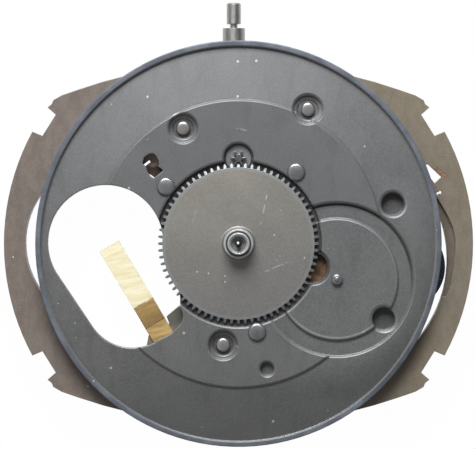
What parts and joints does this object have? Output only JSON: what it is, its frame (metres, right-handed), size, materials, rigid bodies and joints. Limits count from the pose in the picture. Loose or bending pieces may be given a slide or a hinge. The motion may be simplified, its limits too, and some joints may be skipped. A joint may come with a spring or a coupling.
{
  "type": "watch movement",
  "caption": "Battery watch movement seen from its dial side: round dark plate in a brown frame with ears, hand seats at the centre, open cell well and stem.",
  "frame": {"origin": "the hands' axis where it meets the plane of the plate's rim, on which the dial lies", "axes": "+Z along the hands' axis out of the dial side, +Y along the stem out of the movement"},
  "size_m": [0.03, 0.0283, 0.0064],
  "materials": {
    "dark_plate": "dark grey satin plating",
    "brown_frame": "matt brown moulding",
    "steel": "fine brushed steel",
    "grey_steel": "warm grey, turned",
    "brass": "plain brass",
    "jewel": "polished red bearing",
    "magnet": "matt dark",
    "copper": "enamelled copper",
    "dark_plastic": "matt black",
    "board_green": "varnished board",
    "bridge_metal": "fine grained nickel",
    "trimmer_dark": "dark purple brown"
  },
  "bodies": {
    "movement": {"dial_plate": "dark_plate", "frame": "brown_frame", "plate_rivets": "steel", "wheel_guard_posts": "grey_steel", "groove_post": "grey_steel", "minute_bush": "steel", "centre_tube": "steel", "centre_bridge": "brass", "stator": "steel", "coil_core": "steel", "coil_winding": "copper", "coil_flanges": "dark_plastic", "train_bridge": "bridge_metal", "bridge_jewels": "jewel", "plate_jewels": "jewel", "bridge_screws": "steel", "centre_screw": "steel", "motor_screws": "steel", "circuit_board": "board_green", "chip": "dark_plastic", "quartz_can": "steel", "trimmer": "trimmer_dark", "cell_contact": "brass", "contact_screw": "steel", "side_contact": "brass", "copper_lead": "copper", "stem_bush": "grey_steel", "lever_spring": "steel", "setting_post": "steel", "keyless_cover": "bridge_metal", "keyless_posts": "steel", "keyless_screws": "steel"},
    "hour": {"hour_wheel": "grey_steel"},
    "cannon": {"cannon_pinion": "grey_steel"},
    "minute": {"minute_wheel": "brass", "minute_pinion": "steel"},
    "centre": {"centre_wheel": "brass"},
    "seconds": {"seconds_wheel": "brass", "seconds_arbor": "steel"},
    "third": {"third_wheel": "brass", "third_pinion": "steel"},
    "intermediate": {"intermediate_wheel": "brass", "intermediate_pinion": "steel"},
    "rotor": {"rotor_magnet": "magnet", "rotor_pinion": "steel"},
    "setting": {"setting_wheel": "steel"},
    "trimmer_adjuster": {"trimmer_screw": "brass"},
    "yoke": {"yoke": "steel"},
    "clutch": {"clutch": "steel"},
    "stem": {"stem": "grey_steel"},
    "lever": {"setting_lever": "steel"}
  },
  "joints": [
    {"name": "hour_turn", "type": "hinge", "parent": "movement", "child": "hour", "pos_m": [0, 0, 0], "axis": [0, 0, 1], "continuous": true},
    {"name": "cannon_turn", "type": "hinge", "parent": "movement", "child": "cannon", "pos_m": [0, 0, 0], "axis": [0, 0, 1], "continuous": true},
    {"name": "minute_turn", "type": "hinge", "parent": "movement", "child": "minute", "pos_m": [0, 0.00545, 0], "axis": [0, 0, 1], "continuous": true},
    {"name": "setting_turn", "type": "hinge", "parent": "movement", "child": "setting", "pos_m": [-0.0003, 0.00886, 0], "axis": [0, 0, 1], "continuous": true},
    {"name": "seconds_turn", "type": "hinge", "parent": "movement", "child": "seconds", "pos_m": [0, 0, 0], "axis": [0, 0, 1], "continuous": true},
    {"name": "third_turn", "type": "hinge", "parent": "movement", "child": "third", "pos_m": [0.00234, -0.00197, 0], "axis": [0, 0, 1], "continuous": true},
    {"name": "centre_turn", "type": "hinge", "parent": "movement", "child": "centre", "pos_m": [0, 0, 0], "axis": [0, 0, 1], "continuous": true},
    {"name": "intermediate_turn", "type": "hinge", "parent": "movement", "child": "intermediate", "pos_m": [-0.00056, -0.00316, 0], "axis": [0, 0, 1], "continuous": true},
    {"name": "rotor_turn", "type": "hinge", "parent": "movement", "child": "rotor", "pos_m": [0.0009, -0.00467, 0], "axis": [0, 0, 1], "continuous": true},
    {"name": "trimmer_turn", "type": "hinge", "parent": "movement", "child": "trimmer_adjuster", "pos_m": [0.01045, -0.0015, 0], "axis": [0, 0, -1], "continuous": true},
    {"name": "yoke_slide", "type": "slide", "parent": "movement", "child": "yoke", "axis": [0, 1, 0], "range_m": [-0.0002501, 0.0000001]},
    {"name": "stem_turn", "type": "hinge", "parent": "yoke", "child": "clutch", "pos_m": [-0.0003, 0, -0.00235], "axis": [0, 1, 0], "continuous": true},
    {"name": "stem_pull", "type": "slide", "parent": "clutch", "child": "stem", "axis": [0, 1, 0], "range_m": [0, 0.00085]},
    {"name": "lever_turn", "type": "hinge", "parent": "movement", "child": "lever", "pos_m": [-0.0025, 0.01125, 0], "axis": [0, 0, 1], "range_deg": [0, 15.68]}
  ],
  "couplings": [
    {"joint": "minute_turn", "follows": "hour_turn", "ratio": -12},
    {"joint": "cannon_turn", "follows": "hour_turn", "ratio": 12},
    {"joint": "setting_turn", "follows": "hour_turn", "ratio": 48},
    {"joint": "third_turn", "follows": "seconds_turn", "ratio": -0.13333},
    {"joint": "centre_turn", "follows": "seconds_turn", "ratio": 0.016667},
    {"joint": "intermediate_turn", "follows": "seconds_turn", "ratio": -5},
    {"joint": "rotor_turn", "follows": "seconds_turn", "ratio": 30},
    {"joint": "yoke_slide", "follows": "stem_pull", "ratio": -0.29412},
    {"joint": "lever_turn", "follows": "stem_pull", "rad_per_m": 321.86}
  ]
}
